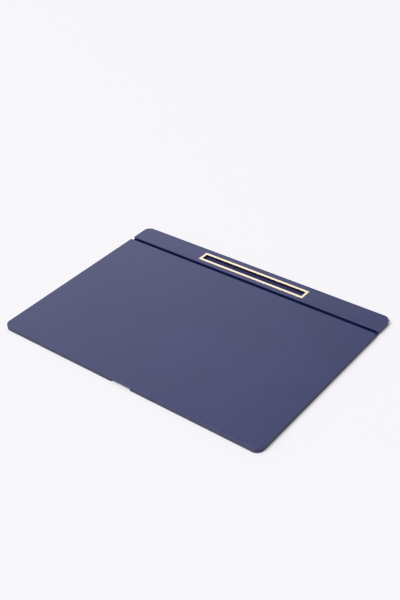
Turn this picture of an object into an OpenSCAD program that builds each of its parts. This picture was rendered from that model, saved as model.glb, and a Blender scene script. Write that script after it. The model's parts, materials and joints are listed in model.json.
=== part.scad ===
// Leather desk pad: a flat base, a lid that lifts on a leather hinge, and a rear rail
// with a metal-framed pen tray. A notch in the front of the base lets a finger reach
// under the lid. Millimetres, +Z up, origin on the surface the pad lies on, below its
// centre; +X to the right and +Y towards the rail at the back.

/* [Overall] */
// Width of the pad, side to side
pad_w = 490; // [380:1:600]
// Depth of the pad, front to back
pad_d = 350; // [280:1:430]
// Radius of the pad's four corners, seen from above
corner_r = 12; // [11:0.5:20]
// Radius of the lid's and rail's corners beside the groove
groove_corner_r = 2; // [2:0.1:4]
// Bevel along the edges of the lid and the rail
edge_c = 1; // [0.7:0.1:1.4]
// Bevel along the edges of the base
base_edge_c = 0.6; // [0.3:0.1:0.6]

/* [Layers] */
// Thickness of the leather that covers the boards
leather_t = 0.6; // [0.5:0.1:0.9]
// Width of the leather turned in under each board
turn_in = 9; // [6:0.5:9.5]
// Thickness of the base's core board
base_board_t = 2.5; // [1.8:0.1:4]
// Thickness of the rail's core board; the lid's board and its underlay add up to it
rail_board_t = 2.6; // [2.4:0.1:4.5]
// Thickness of the soft underlay below the writing surface
underlay_t = 0.5; // [0.3:0.1:0.8]
// Thickness of the suede that lines the document space
lining_t = 0.4; // [0.3:0.05:0.45]
// Border of leather left bare around the suede in the document space
lining_border = 7; // [4:0.5:10]
// How far the non-slip pad stands below the leather
pad_proud = 0.3; // [0.2:0.1:0.8]

/* [Hinge] */
// Depth of the rear rail, front to back
rail_d = 40.5; // [38:0.5:60]
// Width of the open groove beyond the thickness of the lid, so that the lid can turn
groove_extra = 3.2; // [1.6:0.1:4]
// Distance from the lid's back edge to the line that the leather folds on
fold_offset = 1; // [0.5:0.1:1.2]
// Thickness of the hinge leather
hinge_t = 0.6; // [0.5:0.1:1]
// Width of hinge leather glued under the lid
hinge_glue_w = 22; // [12:1:40]
// Distance from the pad's edge to the edge of the hinge leather
hinge_side = 2; // [1:0.5:6]

/* [Finger notch] */
// Width of the notch in the front edge of the base
notch_w = 33; // [20:1:45]
// Depth of the notch, front to back
notch_d = 12; // [9:0.5:16]
// Radius that opens the mouth of the notch
notch_mouth_r = 4; // [2:0.5:5]
// Radius of the notch's inner corners
notch_inner_r = 3; // [2:0.5:4]

/* [Pen tray] */
// Length of the clear opening of the tray
tray_l = 200; // [150:1:260]
// Width of the clear opening of the tray
tray_w = 13; // [10:0.5:16]
// Distance from the pad's back edge to the middle of the tray
tray_from_back = 22; // [19:0.5:24]
// Corner radius of the clear opening
tray_corner_r = 1.5; // [0.6:0.1:3]
// Thickness of the suede on the tray's floor
tray_floor_t = 0.4; // [0.3:0.1:0.8]
// Width of the metal border seen from above
frame_band = 4.5; // [3.6:0.1:6]
// Corner radius of the metal border
frame_corner_r = 1; // [0.6:0.1:3]
// Thickness of the metal border
frame_t = 1.4; // [1.2:0.1:1.8]
// How far the metal border stands above the leather
frame_proud = 0.5; // [0.2:0.1:0.8]
// Bevel along the border's top edges
frame_c = 0.35; // [0.2:0.05:0.5]
// Thickness of the border's skirt and of the leather on the tray's walls below it
skirt_t = 0.8; // [0.5:0.1:1]
// Height of the skirt below the border
skirt_h = 1.6; // [1:0.1:1.8]

/* [Frame pins] */
// Radius of the fixing pins under the border
pin_r = 0.8; // [0.5:0.1:1]
// Length of the fixing pins
pin_h = 1.8; // [1.2:0.1:2]
// Distance between neighbouring pins along the tray
pin_pitch = 88; // [60:1:100]
// Pins along each long side of the tray
pins_per_side = 3; // [2:1:3]

/* [Clearances] */
// Gap beside pieces that are glued into a pocket
glue_gap = 0.05; // [0.02:0.01:0.15]
// Gap around the metal border in its recess
frame_gap = 0.2; // [0.1:0.05:0.4]
// Gap around and below each fixing pin
pin_gap = 0.05; // [0.02:0.01:0.1]
// Gap below the moving hinge leather and on each side of its fold line
fold_gap = 0.1; // [0.05:0.05:0.2]

/* [Hidden] */
$fn = 64;
cut = 1;                                        // how far a cutter runs past a face

base_z = pad_proud;                             // underside of the base's leather
base_board_z = base_z + leather_t;
base_top = base_board_z + base_board_t + leather_t;
upper_z = base_top + hinge_t;                   // underside of the lid and the rail
upper_board_z = upper_z + leather_t;
upper_t = rail_board_t + 2 * leather_t;
top_z = upper_z + upper_t;                      // writing surface
lid_board_t = rail_board_t - underlay_t;
board_c = edge_c - leather_t * (2 - sqrt(2));   // keeps the leather even over the bevel

back_y = pad_d / 2;
front_y = -pad_d / 2;
rail_front_y = back_y - rail_d;
groove_w = upper_t + groove_extra;
lid_back_y = rail_front_y - groove_w;
fold_y = lid_back_y + fold_offset;
leaf_front_y = lid_back_y - hinge_glue_w;

tray_y = back_y - tray_from_back;
frame_z = top_z + frame_proud - frame_t;        // seat of the metal border
skirt_z = frame_z - skirt_h;
pin_y = tray_w / 2 + (skirt_t + frame_band) / 2;

board_colour = "tan";
leather_colour = "midnightblue";
suede_colour = "slategray";
metal_colour = "gold";

// ---- outlines, seen from above --------------------------------------------------

// Rectangle from y0 to y1, centred on X, with one corner radius in front, one behind.
module outline(w, y0, y1, r_front, r_back) {
    for (side = [-1, 1]) {
        translate([side * (w / 2 - r_front), y0 + r_front]) circle(r_front);
        translate([side * (w / 2 - r_back), y1 - r_back]) circle(r_back);
    }
    translate([-w / 2, y0 + r_front]) square([w, y1 - r_back - y0 - r_front]);
    translate([r_front - w / 2, y0]) square([w - 2 * r_front, y1 - r_back - y0]);
    translate([r_back - w / 2, y0 + r_front]) square([w - 2 * r_back, y1 - y0 - r_front]);
}

// The finger notch grown by i, so that leather of that thickness can line it.
module notch_outline(i) {
    half = notch_w / 2 + i;
    deep_y = front_y + notch_d + i;
    inner_r = notch_inner_r + i;
    mouth_r = max(notch_mouth_r - i, 0.5);
    translate([-half, front_y - cut]) square([2 * half, notch_d + i + cut - inner_r]);
    translate([inner_r - half, front_y]) square([2 * (half - inner_r), notch_d + i]);
    for (side = [0, 1]) mirror([side, 0]) {
        translate([half - inner_r, deep_y - inner_r]) circle(inner_r);
        translate([half, front_y + i]) difference() {
            translate([-cut, -i - cut]) square([mouth_r + cut, mouth_r + i + cut]);
            translate([mouth_r, mouth_r]) circle(mouth_r);
        }
    }
}

// The whole pad's outline drawn in from the edge by i, with the finger notch.
module base_outline(i) {
    difference() {
        outline(pad_w - 2 * i, front_y + i, back_y - i, corner_r - i, corner_r - i);
        notch_outline(i);
    }
}

// The part of the base's outline that borders the notch: its walls and rounded mouth.
module notch_zone() {
    reach = notch_w / 2 + max(notch_mouth_r, leather_t);
    translate([-reach, front_y - cut]) square([2 * reach, notch_d + leather_t + cut]);
}

module lid_outline(i) {
    outline(pad_w - 2 * i, front_y + i, lid_back_y - i, corner_r - i, inner_radius(i));
}

module rail_outline(i) {
    outline(pad_w - 2 * i, rail_front_y + i, back_y - i, inner_radius(i), corner_r - i);
}

// The pen tray's clear opening grown by g.
module tray_outline(g) {
    r = tray_corner_r + g;
    half = tray_w / 2 + g;
    outline(tray_l + 2 * g, tray_y - half, tray_y + half, r, r);
}

// The metal border's outer edge grown by g.
module frame_outline(g) {
    r = frame_corner_r + g;
    half = tray_w / 2 + frame_band + g;
    outline(tray_l + 2 * (frame_band + g), tray_y - half, tray_y + half, r, r);
}

// Radius at the groove's corners of an outline drawn in by i.
function inner_radius(i) = max(groove_corner_r - i, 0.5);

// ---- solids that repeat ---------------------------------------------------------

// Extrudes an outline from height z over a thickness t.
module layer(z, t) {
    translate([0, 0, z]) linear_extrude(t) children();
}

// Cross-section of a slab from a to b along its width, bevelled by c at all corners.
module bevelled_section(a, b, t, c) {
    polygon([[a + c, 0], [b - c, 0], [b, c], [b, t - c], [b - c, t], [a + c, t], [a, t - c], [a, c]]);
}

module bevelled_disc(r, t, c) {
    rotate_extrude() polygon([[0, 0], [r - c, 0], [r, c], [r, t - c], [r - c, t], [0, t]]);
}

// Runs a cross-section in Y and Z along X, over half to each side of the middle.
module across(half) {
    rotate([90, 0, 90]) translate([0, 0, -half]) linear_extrude(2 * half) children();
}

// The solid of outline(w, y0, y1, r_front, r_back), bevelled by c above and below.
module bevelled_plate(w, y0, y1, r_front, r_back, z, t, c) {
    translate([0, 0, z]) {
        for (side = [-1, 1]) {
            translate([side * (w / 2 - r_front), y0 + r_front]) bevelled_disc(r_front, t, c);
            translate([side * (w / 2 - r_back), y1 - r_back]) bevelled_disc(r_back, t, c);
        }
        across(w / 2 - r_front) bevelled_section(y0, y1 - r_back, t, c);
        across(w / 2 - r_back) bevelled_section(y0 + r_front, y1, t, c);
        translate([0, y1 - r_back, 0]) rotate([90, 0, 0])
            linear_extrude(y1 - r_back - y0 - r_front) bevelled_section(-w / 2, w / 2, t, c);
    }
}

module lid_plate(i, z, t, c) {
    bevelled_plate(
        pad_w - 2 * i, front_y + i, lid_back_y - i, corner_r - i, inner_radius(i), z, t, c);
}

module rail_plate(i, z, t, c) {
    bevelled_plate(
        pad_w - 2 * i, rail_front_y + i, back_y - i, inner_radius(i), corner_r - i, z, t, c);
}

module at_pins() {
    middle = (pins_per_side - 1) / 2;
    for (side = [-1, 1], n = [0 : pins_per_side - 1])
        translate([(n - middle) * pin_pitch, tray_y + side * pin_y, 0]) children();
}

// The pocket through the rail that the tray's walls stand in.
module tray_pocket() {
    layer(base_top - cut, top_z - base_top + 2 * cut) tray_outline(skirt_t + glue_gap);
}

// ---- base -----------------------------------------------------------------------

module base_board() {
    color(board_colour) layer(base_board_z, base_board_t) base_outline(leather_t + glue_gap);
}

// Leather over the top and the sides, turned in below.
module base_cover() {
    color(leather_colour) difference() {
        bevelled_plate(
            pad_w, front_y, back_y, corner_r, corner_r, base_z, base_top - base_z, base_edge_c);
        layer(base_board_z, base_board_t) base_outline(leather_t);
        layer(base_z - cut, leather_t + cut + glue_gap) base_outline(turn_in);
        layer(base_z - cut, base_top - base_z + 2 * cut) notch_outline(0);
        layer(base_z - cut, base_board_z + base_board_t - base_z + cut) intersection() {
            notch_outline(leather_t + glue_gap);
            notch_zone();
        }
    }
}

// Strip of leather round the walls of the finger notch, below the cover's top skin.
module notch_facing() {
    color(leather_colour) layer(base_z, base_board_z + base_board_t - base_z) intersection() {
        difference() {
            base_outline(0);
            base_outline(leather_t);
        }
        notch_zone();
    }
}

module base_lining() {
    color(suede_colour) layer(base_top, lining_t) difference() {
        outline(
            pad_w - 2 * lining_border, front_y + lining_border, leaf_front_y - 2,
            corner_r - lining_border, 2);
        notch_outline(lining_border);
    }
}

module underside_pad() {
    color(suede_colour) layer(0, base_board_z) base_outline(turn_in + glue_gap);
}

// ---- hinge ----------------------------------------------------------------------

// The hinge leather from its fold line back: the groove's floor and the layer that
// is glued between the rail and the base.
module hinge_rail_leaf() {
    color(leather_colour) difference() {
        layer(base_top, hinge_t) outline(
            pad_w - 2 * hinge_side, fold_y + fold_gap, back_y - hinge_side, 0.5, corner_r - hinge_side);
        tray_pocket();
    }
}

// The hinge leather from its fold line forward, glued under the lid.
module hinge_lid_leaf() {
    color(leather_colour) layer(base_top + fold_gap, hinge_t - fold_gap)
        outline(pad_w - 2 * hinge_side, leaf_front_y, fold_y - fold_gap, 2, 0.5);
}

// ---- rail and pen tray ----------------------------------------------------------

module rail_board() {
    color(board_colour) difference() {
        rail_plate(leather_t + glue_gap, upper_board_z, rail_board_t, board_c);
        tray_pocket();
        layer(frame_z, frame_t) frame_outline(frame_gap);
        at_pins() translate([0, 0, frame_z - pin_h - pin_gap]) cylinder(r = pin_r + pin_gap, h = pin_h + cut);
    }
}

// Card that levels the space inside the leather turned in under the rail.
module rail_filler() {
    color(board_colour) difference() {
        layer(upper_z, leather_t) rail_outline(turn_in + glue_gap);
        tray_pocket();
    }
}

module rail_cover() {
    color(leather_colour) difference() {
        rail_plate(0, upper_z, upper_t, edge_c);
        rail_plate(leather_t, upper_board_z, rail_board_t, board_c);
        layer(upper_z - cut, leather_t + cut + glue_gap) rail_outline(turn_in);
        layer(frame_z, top_z - frame_z + cut) frame_outline(frame_gap);
    }
}

module tray_floor() {
    color(suede_colour) layer(base_top, tray_floor_t) tray_outline(-glue_gap);
}

module tray_wall_lining() {
    color(leather_colour) layer(base_top, skirt_z - base_top) difference() {
        tray_outline(skirt_t);
        tray_outline(0);
    }
}

// Metal border with a skirt that lines the top of the tray's walls.
module pen_frame() {
    frame_r = frame_corner_r;
    half = tray_w / 2 + frame_band;
    color(metal_colour) difference() {
        union() {
            layer(frame_z, frame_t / 2) frame_outline(0);
            bevelled_plate(
                tray_l + 2 * frame_band, tray_y - half, tray_y + half, frame_r, frame_r,
                frame_z, frame_t, frame_c);
            layer(skirt_z, skirt_h + frame_t / 2) tray_outline(skirt_t);
        }
        layer(skirt_z - cut, skirt_h + frame_t + 2 * cut) tray_outline(0);
        bevelled_plate(
            tray_l + 2 * frame_c, tray_y - tray_w / 2 - frame_c, tray_y + tray_w / 2 + frame_c,
            tray_corner_r + frame_c, tray_corner_r + frame_c,
            frame_z + frame_t - frame_c, 2 * cut, frame_c);
    }
}

module frame_pins() {
    color(metal_colour) at_pins() translate([0, 0, frame_z - pin_h]) cylinder(r = pin_r, h = pin_h);
}

// ---- lid ------------------------------------------------------------------------

module lid_board() {
    color(board_colour) difference() {
        lid_plate(leather_t + glue_gap, upper_board_z, rail_board_t, board_c);
        lid_underlay_space();
    }
}

module lid_underlay_space() {
    layer(upper_board_z + lid_board_t, underlay_t + cut) outline(pad_w, front_y, back_y, 1, 1);
}

module lid_underlay() {
    color(suede_colour) intersection() {
        lid_plate(leather_t + glue_gap, upper_board_z, rail_board_t, board_c);
        lid_underlay_space();
    }
}

module lid_cover() {
    color(leather_colour) difference() {
        lid_plate(0, upper_z, upper_t, edge_c);
        lid_plate(leather_t, upper_board_z, rail_board_t, board_c);
        layer(upper_z - cut, leather_t + cut + glue_gap) lid_outline(turn_in);
    }
}

module lid_lining() {
    color(suede_colour) layer(upper_z, leather_t) lid_outline(turn_in + glue_gap);
}

base_board();
base_cover();
notch_facing();
base_lining();
underside_pad();
hinge_rail_leaf();
rail_board();
rail_filler();
rail_cover();
tray_floor();
tray_wall_lining();
pen_frame();
frame_pins();
lid_board();
lid_underlay();
lid_cover();
lid_lining();
hinge_lid_leaf();
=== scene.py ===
"""Looks of a leather desk pad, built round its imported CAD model.

Everything is in metres in the CAD model's own frame: +X right, +Y towards the rear
rail, +Z up. Places come from the CAD nodes' boxes.
"""
import json
import math

import bmesh
import bpy
from mathutils import Matrix, Vector, noise


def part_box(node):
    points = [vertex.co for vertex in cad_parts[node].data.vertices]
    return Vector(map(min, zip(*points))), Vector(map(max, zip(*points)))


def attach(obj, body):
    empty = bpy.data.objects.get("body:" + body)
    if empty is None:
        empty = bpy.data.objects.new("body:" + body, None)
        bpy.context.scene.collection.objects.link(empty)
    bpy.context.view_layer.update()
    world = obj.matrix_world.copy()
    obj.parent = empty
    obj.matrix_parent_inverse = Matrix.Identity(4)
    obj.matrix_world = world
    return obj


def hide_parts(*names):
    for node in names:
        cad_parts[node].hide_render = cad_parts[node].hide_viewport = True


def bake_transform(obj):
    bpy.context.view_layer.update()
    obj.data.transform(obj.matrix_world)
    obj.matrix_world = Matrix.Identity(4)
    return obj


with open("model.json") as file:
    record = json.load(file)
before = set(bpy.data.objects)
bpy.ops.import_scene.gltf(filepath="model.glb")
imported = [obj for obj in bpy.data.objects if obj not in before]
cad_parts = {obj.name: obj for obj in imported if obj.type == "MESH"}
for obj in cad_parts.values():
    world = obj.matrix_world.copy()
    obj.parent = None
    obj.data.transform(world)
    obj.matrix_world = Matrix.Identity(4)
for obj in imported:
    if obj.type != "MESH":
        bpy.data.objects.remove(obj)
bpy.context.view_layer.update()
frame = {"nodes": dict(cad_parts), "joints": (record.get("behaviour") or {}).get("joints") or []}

MM = 0.001

# ---- sizes that the CAD boxes don't give directly --------------------------------

CORNER_R = 12 * MM              # the pad's corners, seen from above
GROOVE_CORNER_R = 2 * MM        # lid, rail and lining corners beside the groove
SHARP_R = 0.3 * MM              # left on a corner that is drawn in past its own radius
NOTCH_MOUTH_R = 4 * MM
NOTCH_INNER_R = 3 * MM
ARC_STEPS = 12                  # segments round each corner
RUN_STEP = 6 * MM               # usual length of a segment along a straight run

LEATHER_T = 0.6 * MM
SKIN_T = 0.97 * LEATHER_T       # drawn a little thinner, just off the board inside it
TURN_IN = 9 * MM                # leather turned in under each board
EDGE_R = 0.55 * MM              # rounding of the lid's and rail's leather edges
BASE_EDGE_R = 0.5 * MM
FLAT_INSET = CORNER_R - 0.8 * MM        # where the one big face of a flat side starts
RAIL_FLAT_INSET = CORNER_R - 3.5 * MM   # the same, outside the pen tray's window

WAVER = 0.05 * MM               # how far a hand-turned edge wanders
WAVER_BAND = 2 * MM             # and how far in from the edge it does
WAVER_CELLS = 60                # per metre
PLEATS = 6.5                    # round each corner, in the turned-in leather
PLEAT_H = 0.26 * MM
PLEAT_LEVEL = 0.3 * MM          # pleats are lower than this over the underside
PLEAT_INSET = 1.5 * MM          # and farther in than this

TRAY_CORNER_R = 1.5 * MM
FRAME_CORNER_R = 1 * MM
FRAME_GAP = 0.35 * MM           # shadow gap between the metal border and the leather
FRAME_EASE = 0.15 * MM          # the border is drawn this much narrower than in the CAD
BORDER_T = 1.4 * MM             # the metal border's thickness; its skirt goes deeper
SKIRT_T = 0.8 * MM
WINDOW_DEPTH = 1.2 * MM         # of the cut for the border, past the leather's thickness
WINDOW_OVER = 1 * MM            # how far the cutter stands over the leather

FOLD_REACH = 1.6 * MM           # half the width of the close rows round the fold

# ---- places from the frame --------------------------------------------------------

base_low, base_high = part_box("base_cover")
lid_low, lid_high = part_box("lid_cover")
frame_low, frame_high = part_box("pen_frame")
wall_low, wall_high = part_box("tray_wall_lining")
notch_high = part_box("notch_facing")[1]
rail_front_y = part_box("rail_cover")[0].y
fold = Vector(frame["joints"][0]["pos_m"])

half_w = base_high.x
front_y, back_y = base_low.y, base_high.y
upper_z, top_z = lid_low.z, lid_high.z          # underside and top of the lid and rail
notch_half = notch_high.x - NOTCH_MOUTH_R
notch_depth = notch_high.y - front_y - LEATHER_T

tray_y = (frame_low.y + frame_high.y) / 2
tray_half_x = wall_high.x - SKIRT_T
tray_half_y = (wall_high.y - wall_low.y) / 2 - SKIRT_T
border = frame_high.x - tray_half_x - FRAME_EASE


def inset_of(node):
    """How far a node's sides lie inside the pad's."""
    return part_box(node)[0].x + half_w


# ---- outlines ---------------------------------------------------------------------


class Outline:
    """A closed outline of square corners with round arcs, which can be drawn inwards.

    corners(inset) lists (x, y, radius) counter-clockwise. Every inset has the same
    number of points, so that rings of it can be joined face by face.
    """

    def __init__(self, corners):
        self.corners = corners
        whole = corners(0)
        ends = zip(whole, whole[1:] + whole[:1])
        self.cuts = [
            max(1, round(math.dist(a[:2], b[:2]) / RUN_STEP)) for a, b in ends
        ]

    def rounding(self, inset, k):
        """The points round corner k at that inset."""
        corners = self.corners(inset)
        x, y, radius = corners[k]
        here = Vector((x, y))
        before = (here - Vector(corners[k - 1][:2])).normalized()
        after = (Vector(corners[(k + 1) % len(corners)][:2]) - here).normalized()
        centre = here + radius * (after - before)
        turns = [math.pi / 2 * step / ARC_STEPS for step in range(ARC_STEPS + 1)]
        return [centre + radius * (before * math.sin(t) - after * math.cos(t)) for t in turns]

    def loop(self, inset):
        """All its points at that inset: round each corner, then along the run after it."""
        roundings = [self.rounding(inset, k) for k in range(len(self.cuts))]
        points = []
        for here, following, cuts in zip(roundings, roundings[1:] + roundings[:1], self.cuts):
            points += here
            points += [here[-1].lerp(following[0], step / cuts) for step in range(1, cuts)]
        return points


def plate_outline(x, y0, y1, r_front, r_back):
    """Rectangle from -x to x and y0 to y1, with one radius in front and one behind."""

    def corners(inset):
        front = max(r_front - inset, SHARP_R)
        back = max(r_back - inset, SHARP_R)
        left, right = inset - x, x - inset
        low, high = y0 + inset, y1 - inset
        return [(left, low, front), (right, low, front), (right, high, back), (left, high, back)]

    return Outline(corners)


def notched_outline(x, y0, y1, r_back, start=0):
    """The same with the pad's front corners and finger notch. start is how far this
    outline lies inside the pad's own."""

    def corners(inset):
        front = max(CORNER_R - start - inset, SHARP_R)
        back = max(r_back - inset, SHARP_R)
        mouth = max(NOTCH_MOUTH_R - inset - start, SHARP_R)
        inner = NOTCH_INNER_R + inset + start
        left, right = inset - x, x - inset
        low, high = y0 + inset, y1 - inset
        side, deep = notch_half + start + inset, y0 + notch_depth + inset
        return [
            (left, low, front),
            (-side, low, mouth), (-side, deep, inner), (side, deep, inner), (side, low, mouth),
            (right, low, front), (right, high, back), (left, high, back),
        ]

    return Outline(corners)


def tray_outline(grow, corner):
    """The tray's clear opening grown outwards on every side."""
    x, y = tray_half_x + grow, tray_half_y + grow
    return plate_outline(x, tray_y - y, tray_y + y, corner, corner)


# ---- profiles ---------------------------------------------------------------------
# A profile is a list of (inset, z). Rings just past a rounded edge keep the faces
# beside it flat.


def arc(inset, z, radius, start, end, steps):
    """Points of a profile round the centre (inset, z). 0 degrees points out of the
    outline and 90 up."""
    angles = [math.radians(start + (end - start) * k / steps) for k in range(steps + 1)]
    return [(inset - radius * math.cos(a), z + radius * math.sin(a)) for a in angles]


def plate_profile(z0, z1, edge, inner):
    """A plain sheet with rounded edges, from its underside up to its top."""
    beside = 2 * edge
    return (
        [(inner, z0), (beside, z0)]
        + arc(edge, z0 + edge, edge, -90, 0, 4)
        + arc(edge, z1 - edge, edge, 0, 90, 4)
        + [(beside, z1), (inner, z1)]
    )


def wrap_profile(z0, z1, edge, flat):
    """Leather wrapped over a board's top and sides and turned in below: down its inner
    face, round the turn-in's lip and up its outer face."""
    inner_edge = 0.15 * MM
    inner_inset = SKIN_T + inner_edge
    lip = 0.12 * MM
    lip_z = z0 + SKIN_T
    turn_in_middle = 0.6 * TURN_IN
    return (
        [(flat, z1 - SKIN_T)]
        + arc(inner_inset, z1 - inner_inset, inner_edge, 90, 0, 4)
        + arc(inner_inset, z0 + inner_inset, inner_edge, 0, -90, 4)
        + [(TURN_IN - lip, lip_z), (TURN_IN, lip_z - lip)]
        + [(TURN_IN, z0 + lip), (TURN_IN - lip, z0)]
        + [(turn_in_middle, z0), (2.2 * edge, z0)]
        + arc(edge, z0 + edge, edge, -90, 0, 7)
        + arc(edge, z1 - edge, edge, 0, 90, 7)
        + [(1.5 * edge, z1), (2.6 * edge, z1), (flat, z1)]
    )


def frame_profile():
    """The metal border: a flat band on top and a skirt down the tray's walls."""
    inner = border - 0.1 * MM
    skirt_inset = inner - SKIRT_T
    top, skirt = frame_high.z, wall_high.z
    seat = top - BORDER_T
    outer_r, inner_r, nick = 0.22 * MM, 0.25 * MM, 0.1 * MM
    crown = 0.03 * MM                       # how far the band's edges are below its middle
    shoulder, shoulder_drop = 1.3 * MM, 0.01 * MM
    return (
        [(nick, seat), (0, seat + nick)]
        + arc(outer_r, top - crown - outer_r, outer_r, 0, 80, 5)
        + [(shoulder, top - shoulder_drop), (inner / 2, top)]
        + [(inner - shoulder, top - shoulder_drop)]
        + arc(inner - inner_r, top - crown - inner_r, -inner_r, -80, 0, 5)
        + [(inner, skirt + nick), (inner - nick, skirt)]
        + [(skirt_inset + nick, skirt), (skirt_inset, skirt + nick), (skirt_inset, seat)]
    )


def wall_profile():
    """The lining of the tray's walls, with its top edges bevelled."""
    play, bevel = 0.02 * MM, 0.15 * MM      # play keeps its ends just off what they meet
    foot, top, corner = wall_low.z + play, wall_high.z - play, wall_high.z - bevel
    return [
        (0, foot), (0, corner), (bevel, top),
        (SKIRT_T - bevel, top), (SKIRT_T, corner), (SKIRT_T, foot),
    ]


# ---- meshes -----------------------------------------------------------------------


def mesh_from(bm, name):
    """A mesh of what the bmesh holds, which is freed."""
    mesh = bpy.data.meshes.new(name)
    bm.to_mesh(mesh)
    bm.free()
    return mesh


def swept_mesh(name, outline, profile, closed=False, relief=None):
    """Joins rings of the outline, one at each (inset, z) of the profile.

    A closed profile makes a ring; an open one is capped at both ends. relief(point,
    inset) gives an offset for each point.
    """
    bm = bmesh.new()
    rings = []
    for inset, z in profile:
        ring = []
        for point in outline.loop(inset):
            place = Vector((point.x, point.y, z))
            if relief:
                place += relief(place, inset)
            ring.append(bm.verts.new(place))
        rings.append(ring)
    following_rings = rings[1:] + (rings[:1] if closed else [])
    for lower, upper in zip(rings, following_rings):
        for k in range(len(lower)):
            following = (k + 1) % len(lower)
            bm.faces.new((lower[k], lower[following], upper[following], upper[k]))
    if not closed:
        bm.faces.new(list(reversed(rings[0])))
        bm.faces.new(rings[-1])
    bmesh.ops.recalc_face_normals(bm, faces=bm.faces)
    return mesh_from(bm, name)


def hand_turned(z0, corner_ys):
    """Relief of leather folded by hand: the edges waver a little, and the turned-in
    leather is gathered in fine pleats under the corners at those ys."""

    def relief(place, inset):
        wave = noise.noise(place * WAVER_CELLS) * WAVER
        offset = Vector((wave, wave, 0)) if inset < WAVER_BAND else Vector()
        if place.z < z0 + PLEAT_LEVEL and inset > PLEAT_INSET:
            near_x = abs(abs(place.x) - half_w)
            near_y = min(abs(place.y - y) for y in corner_ys)
            if max(near_x, near_y) < CORNER_R:
                angle = math.atan2(CORNER_R - near_y, CORNER_R - near_x)
                pleat = (1 + math.sin(4 * PLEATS * angle)) / 2
                fade = 1 - (inset / TURN_IN) ** 2
                offset.z += PLEAT_H * pleat * max(fade, 0)
        return offset

    return relief


def wrapped_mesh(name, outline, z0, z1, edge, flat, corner_ys):
    """Leather over a board's top and sides, turned in below."""
    profile = wrap_profile(z0, z1, edge, flat)
    return swept_mesh(name, outline, profile, relief=hand_turned(z0, corner_ys))


def cut_window(mesh, outline, z0, z1):
    """The mesh with a straight-sided window cut through it, for the pen tray."""
    cutter_mesh = swept_mesh("window_cutter", outline, [(0, z0), (0, z1)])
    cutter = bpy.data.objects.new("window_cutter", cutter_mesh)
    target = bpy.data.objects.new("window_target", mesh)
    for part in (cutter, target):
        bpy.context.scene.collection.objects.link(part)
    change = target.modifiers.new("window", "BOOLEAN")
    change.operation = "DIFFERENCE"
    change.solver = "EXACT"
    change.object = cutter
    bpy.context.view_layer.update()
    evaluated = target.evaluated_get(bpy.context.evaluated_depsgraph_get())
    result = bpy.data.meshes.new_from_object(evaluated)
    for part in (cutter, target):
        bpy.data.objects.remove(part)
    return result


def finish_mesh(name, mesh, material, body):
    """Makes the piece: smooth shading, what its material reads from it, slot and body.

    "rest" holds where each point is at rest. "worn" is 1 where a rounded edge slopes at
    45 degrees and 0 on the flat and upright faces beside it.
    """
    sharp = math.radians(38)
    piece = bpy.data.objects.new(name, mesh)
    bpy.context.scene.collection.objects.link(piece)
    mesh.polygons.foreach_set("use_smooth", [True] * len(mesh.polygons))
    mesh.set_sharp_from_angle(angle=sharp)
    rest = mesh.attributes.new("rest", "FLOAT_VECTOR", "POINT")
    rest.data.foreach_set("vector", [c for v in mesh.vertices for c in v.co])
    worn = mesh.attributes.new("worn", "FLOAT", "POINT")
    upright = [v.normal.z ** 2 for v in mesh.vertices]
    worn.data.foreach_set("value", [4 * share * (1 - share) for share in upright])
    mesh.materials.append(material)
    if body:
        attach(piece, body)
    return piece


def suede_plate(name, node, outline, body, material, edge=0.12 * MM, inner=2 * MM):
    """A sheet of suede in a CAD node's place, with soft cut edges."""
    low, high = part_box(node)
    mesh = swept_mesh(name, outline, plate_profile(low.z, high.z, edge, inner))
    piece = finish_mesh(name, mesh, material, body)
    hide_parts(node)


# ---- materials --------------------------------------------------------------------


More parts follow.
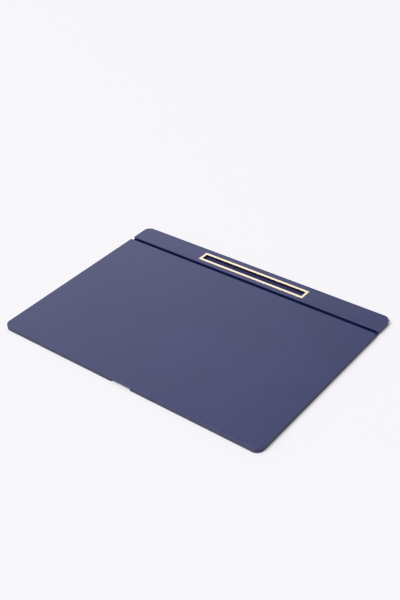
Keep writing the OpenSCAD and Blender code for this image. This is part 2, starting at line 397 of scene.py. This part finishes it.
class Paint:
    """A material with a Principled shader, and short calls that add nodes to it.

    A noise scale is in cells per metre. Colours are linear.
    """

    def __init__(self, name):
        self.material = bpy.data.materials.new(name)
        self.material.use_nodes = True
        self.tree = self.material.node_tree
        self.shader = self.tree.nodes["Principled BSDF"]

    def feed(self, socket, value):
        """Links a socket to the output that value is, or gives it a plain value."""
        if isinstance(value, bpy.types.NodeSocket):
            self.tree.links.new(value, socket)
        else:
            socket.default_value = value

    def add(self, kind, inputs=(), **settings):
        node = self.tree.nodes.new("ShaderNode" + kind)
        for key, value in settings.items():
            setattr(node, key, value)
        for key, value in dict(inputs).items():
            self.feed(node.inputs[key], value)
        return node

    def set(self, **values):
        for key, value in values.items():
            self.feed(self.shader.inputs[key.replace("_", " ")], value)

    def place(self, stretch=(1, 1, 1)):
        """Coordinates fixed to the piece at rest, so that they follow it as it bends."""
        rest = self.add("Attribute", attribute_name="rest").outputs["Vector"]
        return self.add("Mapping", {"Vector": rest, "Scale": stretch}).outputs[0]

    def object_place(self, stretch=(1, 1, 1)):
        """Coordinates of a CAD node, whose object never bends."""
        spot = self.add("TexCoord").outputs["Object"]
        return self.add("Mapping", {"Vector": spot, "Scale": stretch}).outputs[0]

    def noise(self, place, scale, detail=3.0, rough=0.5):
        inputs = {"Vector": place, "Scale": scale, "Detail": detail, "Roughness": rough}
        return self.add("TexNoise", inputs).outputs["Fac"]

    def ramp(self, value, positions, greys=(0.0, 1.0)):
        """A grey that goes from the first to the second between the two positions."""
        node = self.add("ValToRGB", {"Fac": value})
        for element, position, grey in zip(node.color_ramp.elements, positions, greys):
            element.position = position
            element.color = (grey, grey, grey, 1)
        return node.outputs["Color"]

    def maths(self, operation, *values):
        return self.add("Math", enumerate(values), operation=operation).outputs[0]

    def vector_maths(self, operation, *values):
        return self.add("VectorMath", enumerate(values), operation=operation).outputs[0]

    def total(self, *parts, base=0.0):
        """The base plus each part's value times its weight. A part is (weight, value)."""
        for weight, value in parts:
            base = self.maths("MULTIPLY_ADD", value, weight, base)
        return base

    def mix(self, share, a, b):
        """Colour a with that share of b. Sockets 6, 7 and 2 are the node's colour ones."""
        node = self.add("Mix", {"Factor": share}, data_type="RGBA")
        for socket, colour in ((node.inputs[6], a), (node.inputs[7], b)):
            linked = isinstance(colour, bpy.types.NodeSocket)
            self.feed(socket, colour if linked else (*colour, 1))
        return node.outputs[2]

    def bump(self, height, distance, strength, under=None):
        """Normal of a relief that is distance high, over the one that is under it."""
        inputs = {"Height": height, "Distance": distance, "Strength": strength}
        if under:
            inputs["Normal"] = under
        return self.add("Bump", inputs).outputs[0]


def pebbled(paint, place):
    """Height of a pebbled grain, and a mask that is 0 in its creases and 1 outside them."""
    wander = paint.add("TexNoise", {"Vector": place, "Scale": 180.0, "Detail": 2.0})
    bend = paint.vector_maths("MULTIPLY", wander.outputs["Color"], [1.6 * MM] * 3)
    bent = paint.vector_maths("ADD", place, bend)
    domes = paint.add("TexVoronoi", {"Vector": bent, "Scale": 1150.0}, feature="SMOOTH_F1")
    cells = paint.add("TexVoronoi", {"Vector": bent, "Scale": 620.0}, feature="DISTANCE_TO_EDGE")
    crease = paint.ramp(cells.outputs["Distance"], (0.0, 0.16))
    pores = paint.noise(place, scale=5200.0, detail=2.0)
    height = paint.total((-0.9, domes.outputs["Distance"]), (0.45, crease), (0.25, pores))
    return height, crease


def leather(name, dark, light, roughness, grain, gloss=0.5):
    """Fine pebbled leather, polished and a little paler where its edges are rubbed, with painted
    shade in the creases between its pebbles.
    grain is how deep the pebbles are, in metres."""
    paint = Paint(name)
    place = paint.place()
    height, crease = pebbled(paint, place)

    broad = paint.noise(place, scale=9.0)
    cloud = paint.noise(place, scale=55.0, detail=4.0)
    tone = paint.total((0.5, broad), (0.5, cloud))
    colour = paint.mix(paint.ramp(tone, (0.35, 0.65)), dark, light)
    # Painted shade: the grain's creases are drawn darker than the leather beside them.
    crease_shade = [0.72 * c for c in dark]
    colour = paint.mix(paint.ramp(crease, (0.0, 0.6), (0.35, 0.0)), colour, crease_shade)

    worn = paint.add("Attribute", attribute_name="worn").outputs["Fac"]
    patchy = paint.ramp(paint.noise(place, scale=260.0), (0.35, 0.7), (0.3, 1.0))
    rubbed = paint.maths("MULTIPLY", worn, patchy)
    pale = [1.4 * c + 0.004 for c in light]
    colour = paint.mix(paint.maths("MULTIPLY", rubbed, 0.25), colour, pale)

    outside_creases, cloudy, where_rubbed = -0.06, 0.11, -0.04   # added to the roughness
    middle = roughness + 0.05 - cloudy / 2
    rough = paint.total(
        (outside_creases, crease), (cloudy, cloud), (where_rubbed, rubbed), base=middle)

    relief = paint.bump(height, distance=grain, strength=0.55)
    swell = paint.noise(place, scale=34.0)
    normal = paint.bump(swell, distance=0.07 * MM, strength=0.45, under=relief)
    paint.set(
        Base_Color=colour, Roughness=rough, IOR=1.6, Specular_IOR_Level=gloss, Normal=normal)
    return paint.material


def suede(name, dark, light, sheen):
    """Microfibre with a short nap, brushed into faint light and dark patches."""
    paint = Paint(name)
    place = paint.place()
    streaks = paint.noise(paint.place((1.0, 0.25, 1.0)), scale=160.0, detail=4.0, rough=0.65)
    nap = paint.noise(place, scale=4200.0, rough=0.7)
    broad = paint.noise(place, scale=22.0, detail=4.0, rough=0.6)
    tone = paint.total((0.5, streaks), (0.5, broad))
    colour = paint.mix(paint.ramp(tone, (0.38, 0.62)), dark, light)
    fibre = [0.6 * c for c in dark]
    colour = paint.mix(paint.ramp(nap, (0.35, 0.55), (0.5, 0.0)), colour, fibre)
    relief = paint.bump(nap, distance=0.14 * MM, strength=0.7)
    relief = paint.bump(streaks, distance=0.2 * MM, strength=0.3, under=relief)
    paint.set(
        Base_Color=colour, Roughness=0.95, IOR=1.4, Specular_IOR_Level=0.2, Normal=relief,
        Sheen_Weight=sheen, Sheen_Roughness=0.5, Sheen_Tint=(0.52, 0.56, 0.85, 1))
    return paint.material


def gold(name, on_cad=False):
    """Pale gold plate, satin polished along X, with a few darker handled patches. Down the
    skirt it turns a dark brown: painted shade, where the tray's walls shade it."""
    # The dark brown is painted shade for the skirt inside the tray, not a stain of the metal.
    clean, handled, shade_brown = (0.94, 0.77, 0.51), (0.91, 0.73, 0.47), (0.30, 0.12, 0.085)
    shade_fade_depth = 2 * MM
    paint = Paint(name)
    spot = paint.object_place if on_cad else paint.place
    brushed = paint.noise(spot((0.02, 1.0, 1.0)), scale=9000.0, detail=2.0, rough=0.6)
    patches = paint.noise(spot(), scale=70.0)
    colour = paint.mix(paint.ramp(patches, (0.4, 0.7)), clean, handled)
    # Painted shade: the brown deepens the farther the metal lies below the top of the band.
    height = paint.add("SeparateXYZ", {"Vector": spot()}).outputs["Z"]
    depth = paint.maths("DIVIDE", paint.maths("SUBTRACT", top_z, height), shade_fade_depth)
    skirt_shade = paint.total((0.3, paint.noise(spot(), scale=400.0)), base=depth)
    colour = paint.mix(paint.ramp(skirt_shade, (0.1, 0.5)), colour, shade_brown)
    rough = paint.total((0.1, brushed), (0.08, patches), base=0.17)
    normal = paint.bump(brushed, distance=0.02 * MM, strength=0.25)
    paint.set(Base_Color=colour, Metallic=1.0, Roughness=rough, Normal=normal)
    return paint.material


def fibreboard(name, dark, light):
    """Pressed board or felt: short pale and dark fibres, clumped here and there."""
    paint = Paint(name)
    along = paint.object_place((1.0, 0.3, 1.0))
    fibres = paint.noise(along, scale=900.0, detail=5.0, rough=0.7)
    clumps = paint.noise(paint.object_place(), scale=120.0)
    tone = paint.total((0.7, fibres), (0.3, clumps))
    colour = paint.mix(paint.ramp(tone, (0.35, 0.65)), dark, light)
    normal = paint.bump(fibres, distance=0.1 * MM, strength=0.5)
    paint.set(Base_Color=colour, Roughness=0.85, Normal=normal)
    return paint.material


NAVY = leather(
    "navy_leather", dark=(0.0013, 0.0053, 0.0600), light=(0.0049, 0.0119, 0.0787),
    roughness=0.42, grain=0.11 * MM)
# Painted shade: a darker, duller copy of the navy leather, standing for the shade in the groove
# and down the tray's walls.
HINGE_SHADED = leather(
    "hinge_leather", dark=(0.0004, 0.0018, 0.030), light=(0.0010, 0.0030, 0.040),
    roughness=0.62, grain=0.07 * MM, gloss=0.08)
SUEDE = suede(
    "navy_suede", dark=(0.012, 0.016, 0.045), light=(0.022, 0.028, 0.070), sheen=0.45)
TRAY_SUEDE = suede(
    "tray_suede", dark=(0.010, 0.013, 0.058), light=(0.017, 0.021, 0.082), sheen=0.3)
GOLD = gold("pale_gold")
PIN_GOLD = gold("pin_gold", on_cad=True)
BOARD = fibreboard("hardboard", dark=(0.20, 0.12, 0.06), light=(0.42, 0.29, 0.17))
CARD = fibreboard("grey_card", dark=(0.28, 0.25, 0.21), light=(0.45, 0.42, 0.36))
FELT = fibreboard("underlay_felt", dark=(0.16, 0.15, 0.14), light=(0.30, 0.29, 0.27))

# ---- base -------------------------------------------------------------------------

base_mesh = wrapped_mesh(
    "base_leather", notched_outline(half_w, front_y, back_y, CORNER_R),
    base_low.z, base_high.z, BASE_EDGE_R, FLAT_INSET, (front_y, back_y))
base_leather = finish_mesh("base_leather", base_mesh, NAVY, "base")
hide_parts("base_cover", "notch_facing")

pad_low, pad_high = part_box("underside_pad")
pad_inset = inset_of("underside_pad")
pad_outline = notched_outline(
    pad_high.x, pad_low.y, pad_high.y, CORNER_R - pad_inset, pad_inset)
suede_plate(
    "underside_suede", "underside_pad", pad_outline, "base", SUEDE, edge=0.2 * MM)

lining_low, lining_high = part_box("base_lining")
lining_outline = notched_outline(
    lining_high.x, lining_low.y, lining_high.y, GROOVE_CORNER_R, inset_of("base_lining"))
suede_plate("document_suede", "base_lining", lining_outline, "base", SUEDE)

# ---- rail and pen tray ------------------------------------------------------------

rail_mesh = wrapped_mesh(
    "rail_leather", plate_outline(half_w, rail_front_y, back_y, GROOVE_CORNER_R, CORNER_R),
    upper_z, top_z, EDGE_R, RAIL_FLAT_INSET, (back_y,))
rail_mesh = cut_window(
    rail_mesh, tray_outline(border + FRAME_GAP, FRAME_CORNER_R),
    top_z - WINDOW_DEPTH, top_z + WINDOW_OVER)
rail_leather = finish_mesh("rail_leather", rail_mesh, NAVY, "base")
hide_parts("rail_cover")

metal_mesh = swept_mesh(
    "pen_frame_metal", tray_outline(border, FRAME_CORNER_R), frame_profile(), closed=True)
metal = finish_mesh("pen_frame_metal", metal_mesh, GOLD, "base")
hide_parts("pen_frame")

wall_outline = tray_outline(SKIRT_T, TRAY_CORNER_R + SKIRT_T)
wall_mesh = swept_mesh("tray_wall_leather", wall_outline, wall_profile(), closed=True)
# The wall lining wears the darker hinge leather: painted shade down the tray's walls.
wall = finish_mesh("tray_wall_leather", wall_mesh, HINGE_SHADED, "base")
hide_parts("tray_wall_lining")

suede_plate(
    "tray_suede", "tray_floor", tray_outline(-0.05 * MM, TRAY_CORNER_R),
    "base", TRAY_SUEDE, inner=1 * MM)

# ---- lid --------------------------------------------------------------------------

lid_mesh = wrapped_mesh(
    "lid_leather", plate_outline(half_w, front_y, lid_high.y, CORNER_R, GROOVE_CORNER_R),
    upper_z, top_z, EDGE_R, FLAT_INSET, (front_y,))
lid_leather = finish_mesh("lid_leather", lid_mesh, NAVY, "lid")
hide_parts("lid_cover")

under_low, under_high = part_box("lid_lining")
under_outline = plate_outline(
    under_high.x, under_low.y, under_high.y, CORNER_R - inset_of("lid_lining"), SHARP_R)
suede_plate("lid_suede", "lid_lining", under_outline, "lid", SUEDE)

# ---- hinge ------------------------------------------------------------------------


def spread(start, end, steps):
    """Evenly spaced values from start towards end, without end itself."""
    return [start + (end - start) * k / steps for k in range(steps)]


def hinge_rows(y0, y1):
    """Places across the strip, close together where it folds. The third and second from
    last are the sides of the opening under the pen tray."""
    fold_low, fold_high = fold.y - FOLD_REACH, fold.y + FOLD_REACH
    groove_row, beside_rail = fold.y + 3 * MM, 1 * MM
    opening = tray_half_y + SKIRT_T
    return (
        spread(y0, fold_low, 8) + spread(fold_low, fold_high, 16) + [fold_high]
        + [groove_row, rail_front_y - beside_rail, rail_front_y + beside_rail]
        + [tray_y - opening, tray_y + opening, y1]
    )


def hinge_columns(x0, x1, opening):
    """Places along the strip, with one at each end of the opening."""
    return (
        spread(x0, -opening, 20) + spread(-opening, opening, 30)
        + spread(opening, x1, 20) + [x1]
    )


def roughen_groove(bm, top):
    """Sinks the strip's top face a little and unevenly where the groove shows it."""
    from_sides, from_top = 0.5 * MM, 0.2 * MM
    depth, cells = 0.04 * MM, 90
    for vert in bm.verts:
        shown = lid_high.y + from_sides < vert.co.y < rail_front_y - from_sides
        if shown and vert.co.z > top - from_top:
            vert.co.z -= depth * (1 + noise.noise(vert.co * cells))


def hinge_strip():
    """One strip of leather from under the rail, across the groove, to under the lid."""
    low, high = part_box("hinge_rail_leaf")
    ease = 0.02 * MM                        # drawn this much thinner than in the CAD
    cut_edge, rim_angle = 0.12 * MM, math.radians(60)
    opening = tray_half_x + SKIRT_T
    rows = hinge_rows(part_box("hinge_lid_leaf")[0].y, high.y)
    columns = hinge_columns(low.x, high.x, opening)
    bm = bmesh.new()
    grid = [[bm.verts.new((x, y, high.z)) for x in columns] for y in rows]
    top = []
    for j in range(len(rows) - 1):
        beside_opening = j == len(rows) - 3
        for i in range(len(columns) - 1):
            if beside_opening and abs(columns[i] + columns[i + 1]) / 2 < opening:
                continue
            corners = (grid[j][i], grid[j][i + 1], grid[j + 1][i + 1], grid[j + 1][i])
            top.append(bm.faces.new(corners))
    made = bmesh.ops.extrude_face_region(bm, geom=top)
    lowered = [part for part in made["geom"] if isinstance(part, bmesh.types.BMVert)]
    bmesh.ops.translate(bm, verts=lowered, vec=(0, 0, low.z - high.z + ease))
    bmesh.ops.recalc_face_normals(bm, faces=bm.faces)
    rims = [edge for edge in bm.edges if edge.calc_face_angle(0) > rim_angle]
    bmesh.ops.bevel(bm, geom=rims, offset=cut_edge, segments=2, affect="EDGES")
    roughen_groove(bm, high.z)
    return mesh_from(bm, "hinge_strip")


# The strip's darker leather is painted shade where the groove shows it.
hinge = finish_mesh("hinge_strip", hinge_strip(), HINGE_SHADED, None)
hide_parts("hinge_rail_leaf", "hinge_lid_leaf")
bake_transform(hinge)

# ---- CAD nodes that keep their own shape ------------------------------------------

for node, material in {
    "base_board": BOARD, "rail_board": BOARD, "lid_board": BOARD,
    "rail_filler": CARD, "lid_underlay": FELT, "frame_pins": PIN_GOLD,
}.items():
    kept = frame["nodes"][node]
    kept.data.materials.clear()
    kept.data.materials.append(material)

# ---- camera, light and floor ------------------------------------------------------


def make_camera():
    """Looks down at the pad from its front right, at the photograph's angle."""
    data = bpy.data.cameras.new("camera")
    data.sensor_width = 36
    data.lens = 57.27
    camera = bpy.data.objects.new("camera", data)
    bpy.context.scene.collection.objects.link(camera)
    place = Matrix.Translation((0.7751, -0.8970, 0.8914))
    turn = Matrix.Rotation(math.radians(40.349), 4, "Z")
    tilt = Matrix.Rotation(math.radians(90 - 35.443), 4, "X")
    lean = Matrix.Rotation(math.radians(-3.811), 4, "Z")
    camera.matrix_world = place @ turn @ tilt @ lean
    bpy.context.scene.camera = camera


def make_light(name, place, side, watts, colour):
    """A square area light at that place, aimed at the pad and hidden from the camera."""
    data = bpy.data.lights.new(name, "AREA")
    data.shape = "SQUARE"
    data.size = side
    data.energy = watts
    data.color = colour
    light = bpy.data.objects.new(name, data)
    light.location = place
    light.visible_camera = False
    light.rotation_euler = (-Vector(place)).to_track_quat("-Z", "Y").to_euler()
    bpy.context.scene.collection.objects.link(light)


def make_world():
    """Soft even light from the whole room, a little stronger from the front left, where
    the window is, than from the back right."""
    strength, slope = 0.775, 0.5
    world = bpy.data.worlds.new("studio")
    world.use_nodes = True
    tree = world.node_tree
    background = tree.nodes["Background"]
    background.inputs["Color"].default_value = (0.985, 0.975, 1.0, 1)
    direction = tree.nodes.new("ShaderNodeTexCoord")
    across = tree.nodes.new("ShaderNodeVectorMath")
    across.operation = "DOT_PRODUCT"
    across.inputs[1].default_value = Vector((1, 1, 0)).normalized()
    tree.links.new(direction.outputs["Generated"], across.inputs[0])
    fade = tree.nodes.new("ShaderNodeMath")
    fade.operation = "MULTIPLY_ADD"
    fade.inputs[1].default_value = -strength * slope
    fade.inputs[2].default_value = strength
    tree.links.new(across.outputs["Value"], fade.inputs[0])
    tree.links.new(fade.outputs[0], background.inputs["Strength"])
    bpy.context.scene.world = world


def make_floor():
    size = 12
    mesh = bpy.data.meshes.new("floor")
    corners = [(-size, -size, 0), (size, -size, 0), (size, size, 0), (-size, size, 0)]
    mesh.from_pydata(corners, [], [(0, 1, 2, 3)])
    floor = bpy.data.objects.new("floor", mesh)
    bpy.context.scene.collection.objects.link(floor)
    paint = Paint("pale_floor")
    paint.set(Base_Color=(0.80, 0.795, 0.81, 1), Roughness=0.7, Specular_IOR_Level=0.1)
    mesh.materials.append(paint.material)


def set_tones():
    """Plain display colours, with highlights that roll off as they do on film: straight
    up to the knee, then bent to each channel's white, which holds from there on."""
    knee, middle, full, end = 0.80, 1.0, 1.25, 2
    middle_share = 0.72                     # of the way from the knee to white
    whites = (0.965, 0.950, 0.975)
    settings = bpy.context.scene.view_settings
    settings.view_transform = "Standard"
    settings.use_curve_mapping = True
    curves = settings.curve_mapping
    curves.clip_max_x = end
    curves.extend = "HORIZONTAL"
    for curve, white in zip(curves.curves, whites):
        for point, place in zip(curve.points, ((0, 0), (end, white))):
            point.location = place
        curve.points.new(knee, knee)
        curve.points.new(middle, knee + (white - knee) * middle_share)
        curve.points.new(full, white)
        for point in curve.points:
            point.handle_type = "VECTOR"
    curves.update()


make_camera()
make_light("key", place=(-1.5, -3.6, 6.0), side=3.5, watts=382, colour=(1.0, 0.99, 0.98))
make_light("sheen", place=(-3.4, 2.6, 2.2), side=4.0, watts=33, colour=(0.94, 0.97, 1.32))
make_world()
make_floor()
set_tones()
